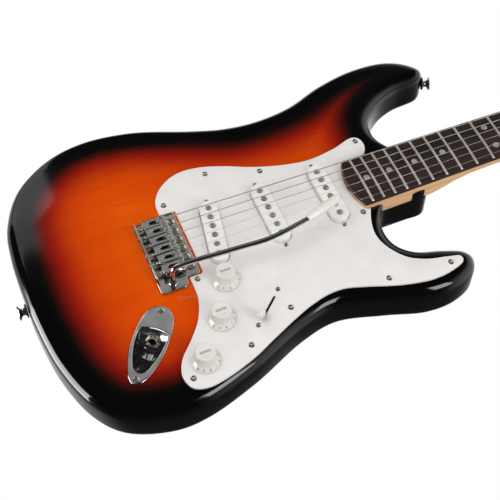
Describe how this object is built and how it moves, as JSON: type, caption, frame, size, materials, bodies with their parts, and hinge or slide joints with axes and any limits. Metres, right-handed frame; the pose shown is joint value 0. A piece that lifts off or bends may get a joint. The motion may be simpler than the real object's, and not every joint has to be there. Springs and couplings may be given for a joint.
{
  "type": "electric guitar",
  "caption": "Double-cutaway solid-body electric guitar with a bolt-on neck, sunburst finish, white pickguard and a synchronised tremolo bridge.",
  "frame": {"origin": "on the outer face of the back cover, below the scale line and the strings' centre line", "axes": "+X along the neck from the saddles to the headstock, +Y to the bass side, +Z out of the playing face"},
  "size_m": [0.9909, 0.3289, 0.0865],
  "materials": {
    "lacquered_body": "high-gloss sunburst lacquer: orange centre, red ring, black edge",
    "white_guard": "glossy off-white sheet plastic",
    "white_parts": "glossy moulded white plastic",
    "maple": "satin lacquered maple",
    "rosewood": "open-pored dark rosewood",
    "nut_bone": "polished bone-like plastic",
    "chrome": "polished chrome",
    "steel": "plain steel",
    "string_metal": "wound and plain string steel",
    "coil": "black coil former with steel pole pieces"
  },
  "bodies": {
    "root": {"body": "lacquered_body", "pickguard": "white_guard", "back_cover": "white_guard", "neck_plate": "chrome", "jack_plate": "chrome", "output_jack": "chrome", "strap_button_horn": "chrome", "strap_button_butt": "chrome", "neck": "maple", "fretboard": "rosewood", "nut": "nut_bone", "truss_rod": "steel", "volume_pot": "steel", "tone_pot_1": "steel", "tone_pot_2": "steel", "switch_body": "steel", "spring_claw": "steel", "tuner_plate": "chrome", "tremolo_spring_1": "steel", "tremolo_spring_2": "steel", "tremolo_spring_3": "steel", "string_1": "string_metal", "string_2": "string_metal", "string_3": "string_metal", "string_4": "string_metal", "string_5": "string_metal", "string_6": "string_metal"},
    "volume_control": {"volume_knob": "white_parts"},
    "tone_control_1": {"tone_knob_1": "white_parts"},
    "tone_control_2": {"tone_knob_2": "white_parts"},
    "pickup_selector": {"switch_lever": "steel", "switch_tip": "white_parts"},
    "bridge": {"bridge_plate": "chrome", "tremolo_block": "steel"},
    "arm": {"tremolo_arm": "chrome", "arm_tip": "white_parts"},
    "neck_pickup": {"neck_pickup_cover": "white_parts", "neck_pickup_coil": "coil"},
    "middle_pickup": {"middle_pickup_cover": "white_parts", "middle_pickup_coil": "coil"},
    "bridge_pickup": {"bridge_pickup_cover": "white_parts", "bridge_pickup_coil": "coil"},
    "saddle_body_1": {"saddle_1": "chrome"},
    "tuner_key_1": {"tuner_button_1": "chrome"},
    "tuner_spindle_1": {"tuner_post_1": "chrome"},
    "saddle_body_2": {"saddle_2": "chrome"},
    "tuner_key_2": {"tuner_button_2": "chrome"},
    "tuner_spindle_2": {"tuner_post_2": "chrome"},
    "saddle_body_3": {"saddle_3": "chrome"},
    "tuner_key_3": {"tuner_button_3": "chrome"},
    "tuner_spindle_3": {"tuner_post_3": "chrome"},
    "saddle_body_4": {"saddle_4": "chrome"},
    "tuner_key_4": {"tuner_button_4": "chrome"},
    "tuner_spindle_4": {"tuner_post_4": "chrome"},
    "saddle_body_5": {"saddle_5": "chrome"},
    "tuner_key_5": {"tuner_button_5": "chrome"},
    "tuner_spindle_5": {"tuner_post_5": "chrome"},
    "saddle_body_6": {"saddle_6": "chrome"},
    "tuner_key_6": {"tuner_button_6": "chrome"},
    "tuner_spindle_6": {"tuner_post_6": "chrome"}
  },
  "joints": [
    {"name": "volume_turn", "type": "hinge", "parent": "root", "child": "volume_control", "pos_m": [0.0311, -0.0528, 0.05], "axis": [0, 0, 1], "range_deg": [0, 270]},
    {"name": "tone_1_turn", "type": "hinge", "parent": "root", "child": "tone_control_1", "pos_m": [0.0125, -0.09, 0.05], "axis": [0, 0, 1], "range_deg": [0, 270]},
    {"name": "tone_2_turn", "type": "hinge", "parent": "root", "child": "tone_control_2", "pos_m": [-0.016, -0.1243, 0.05], "axis": [0, 0, 1], "range_deg": [0, 270]},
    {"name": "selector_tilt", "type": "hinge", "parent": "root", "child": "pickup_selector", "pos_m": [0.056, -0.0944, 0.0263], "axis": [-0.6754, 0.7375, 0], "range_deg": [0, 50]},
    {"name": "tremolo_tilt", "type": "hinge", "parent": "root", "child": "bridge", "pos_m": [0.007, 0, 0.0474], "axis": [0, 1, 0], "range_deg": [-1.5, 6], "deforming": ["string_1", "string_2", "string_3", "string_4", "string_5", "string_6", "tremolo_spring_1", "tremolo_spring_2", "tremolo_spring_3"]},
    {"name": "arm_swing", "type": "hinge", "parent": "bridge", "child": "arm", "pos_m": [-0.014, -0.038, 0.05], "axis": [0, 0, 1], "range_deg": [-120, 10]},
    {"name": "saddle_1_slide", "type": "slide", "parent": "bridge", "child": "saddle_body_1", "axis": [1, 0, 0], "range_m": [-0.003, 0.003]},
    {"name": "saddle_2_slide", "type": "slide", "parent": "bridge", "child": "saddle_body_2", "axis": [1, 0, 0], "range_m": [-0.003, 0.003]},
    {"name": "saddle_3_slide", "type": "slide", "parent": "bridge", "child": "saddle_body_3", "axis": [1, 0, 0], "range_m": [-0.003, 0.003]},
    {"name": "saddle_4_slide", "type": "slide", "parent": "bridge", "child": "saddle_body_4", "axis": [1, 0, 0], "range_m": [-0.003, 0.003]},
    {"name": "saddle_5_slide", "type": "slide", "parent": "bridge", "child": "saddle_body_5", "axis": [1, 0, 0], "range_m": [-0.003, 0.003]},
    {"name": "saddle_6_slide", "type": "slide", "parent": "bridge", "child": "saddle_body_6", "axis": [1, 0, 0], "range_m": [-0.003, 0.003]},
    {"name": "neck_pickup_height", "type": "slide", "parent": "root", "child": "neck_pickup", "axis": [0, 0, 1], "range_m": [-0.003, 0.0015]},
    {"name": "middle_pickup_height", "type": "slide", "parent": "root", "child": "middle_pickup", "axis": [0, 0, 1], "range_m": [-0.003, 0.0015]},
    {"name": "bridge_pickup_height", "type": "slide", "parent": "root", "child": "bridge_pickup", "axis": [0, 0, 1], "range_m": [-0.003, 0.0015]},
    {"name": "tuner_1_turn", "type": "hinge", "parent": "root", "child": "tuner_key_1", "pos_m": [0.70211, 0.03761, 0.0254], "axis": [0.2521, 0.9677, 0], "continuous": true},
    {"name": "post_1_turn", "type": "hinge", "parent": "root", "child": "tuner_spindle_1", "pos_m": [0.69, 0.0201, 0.045], "axis": [0, 0, 1], "continuous": true},
    {"name": "tuner_2_turn", "type": "hinge", "parent": "root", "child": "tuner_key_2", "pos_m": [0.72669, 0.03121, 0.0254], "axis": [0.2521, 0.9677, 0], "continuous": true},
    {"name": "post_2_turn", "type": "hinge", "parent": "root", "child": "tuner_spindle_2", "pos_m": [0.71458, 0.0137, 0.045], "axis": [0, 0, 1], "continuous": true},
    {"name": "tuner_3_turn", "type": "hinge", "parent": "root", "child": "tuner_key_3", "pos_m": [0.75126, 0.02481, 0.0254], "axis": [0.2521, 0.9677, 0], "continuous": true},
    {"name": "post_3_turn", "type": "hinge", "parent": "root", "child": "tuner_spindle_3", "pos_m": [0.73916, 0.0073, 0.045], "axis": [0, 0, 1], "continuous": true},
    {"name": "tuner_4_turn", "type": "hinge", "parent": "root", "child": "tuner_key_4", "pos_m": [0.77585, 0.01841, 0.0254], "axis": [0.2521, 0.9677, 0], "continuous": true},
    {"name": "post_4_turn", "type": "hinge", "parent": "root", "child": "tuner_spindle_4", "pos_m": [0.76374, 0.00089, 0.045], "axis": [0, 0, 1], "continuous": true},
    {"name": "tuner_5_turn", "type": "hinge", "parent": "root", "child": "tuner_key_5", "pos_m": [0.80043, 0.012, 0.0254], "axis": [0.2521, 0.9677, 0], "continuous": true},
    {"name": "post_5_turn", "type": "hinge", "parent": "root", "child": "tuner_spindle_5", "pos_m": [0.78832, -0.00551, 0.045], "axis": [0, 0, 1], "continuous": true},
    {"name": "tuner_6_turn", "type": "hinge", "parent": "root", "child": "tuner_key_6", "pos_m": [0.825, 0.0056, 0.0254], "axis": [0.2521, 0.9677, 0], "continuous": true},
    {"name": "post_6_turn", "type": "hinge", "parent": "root", "child": "tuner_spindle_6", "pos_m": [0.8129, -0.01191, 0.045], "axis": [0, 0, 1], "continuous": true}
  ],
  "couplings": [
    {"joint": "post_1_turn", "follows": "tuner_1_turn", "ratio": -0.0667},
    {"joint": "post_2_turn", "follows": "tuner_2_turn", "ratio": -0.0667},
    {"joint": "post_3_turn", "follows": "tuner_3_turn", "ratio": -0.0667},
    {"joint": "post_4_turn", "follows": "tuner_4_turn", "ratio": -0.0667},
    {"joint": "post_5_turn", "follows": "tuner_5_turn", "ratio": -0.0667},
    {"joint": "post_6_turn", "follows": "tuner_6_turn", "ratio": -0.0667}
  ]
}
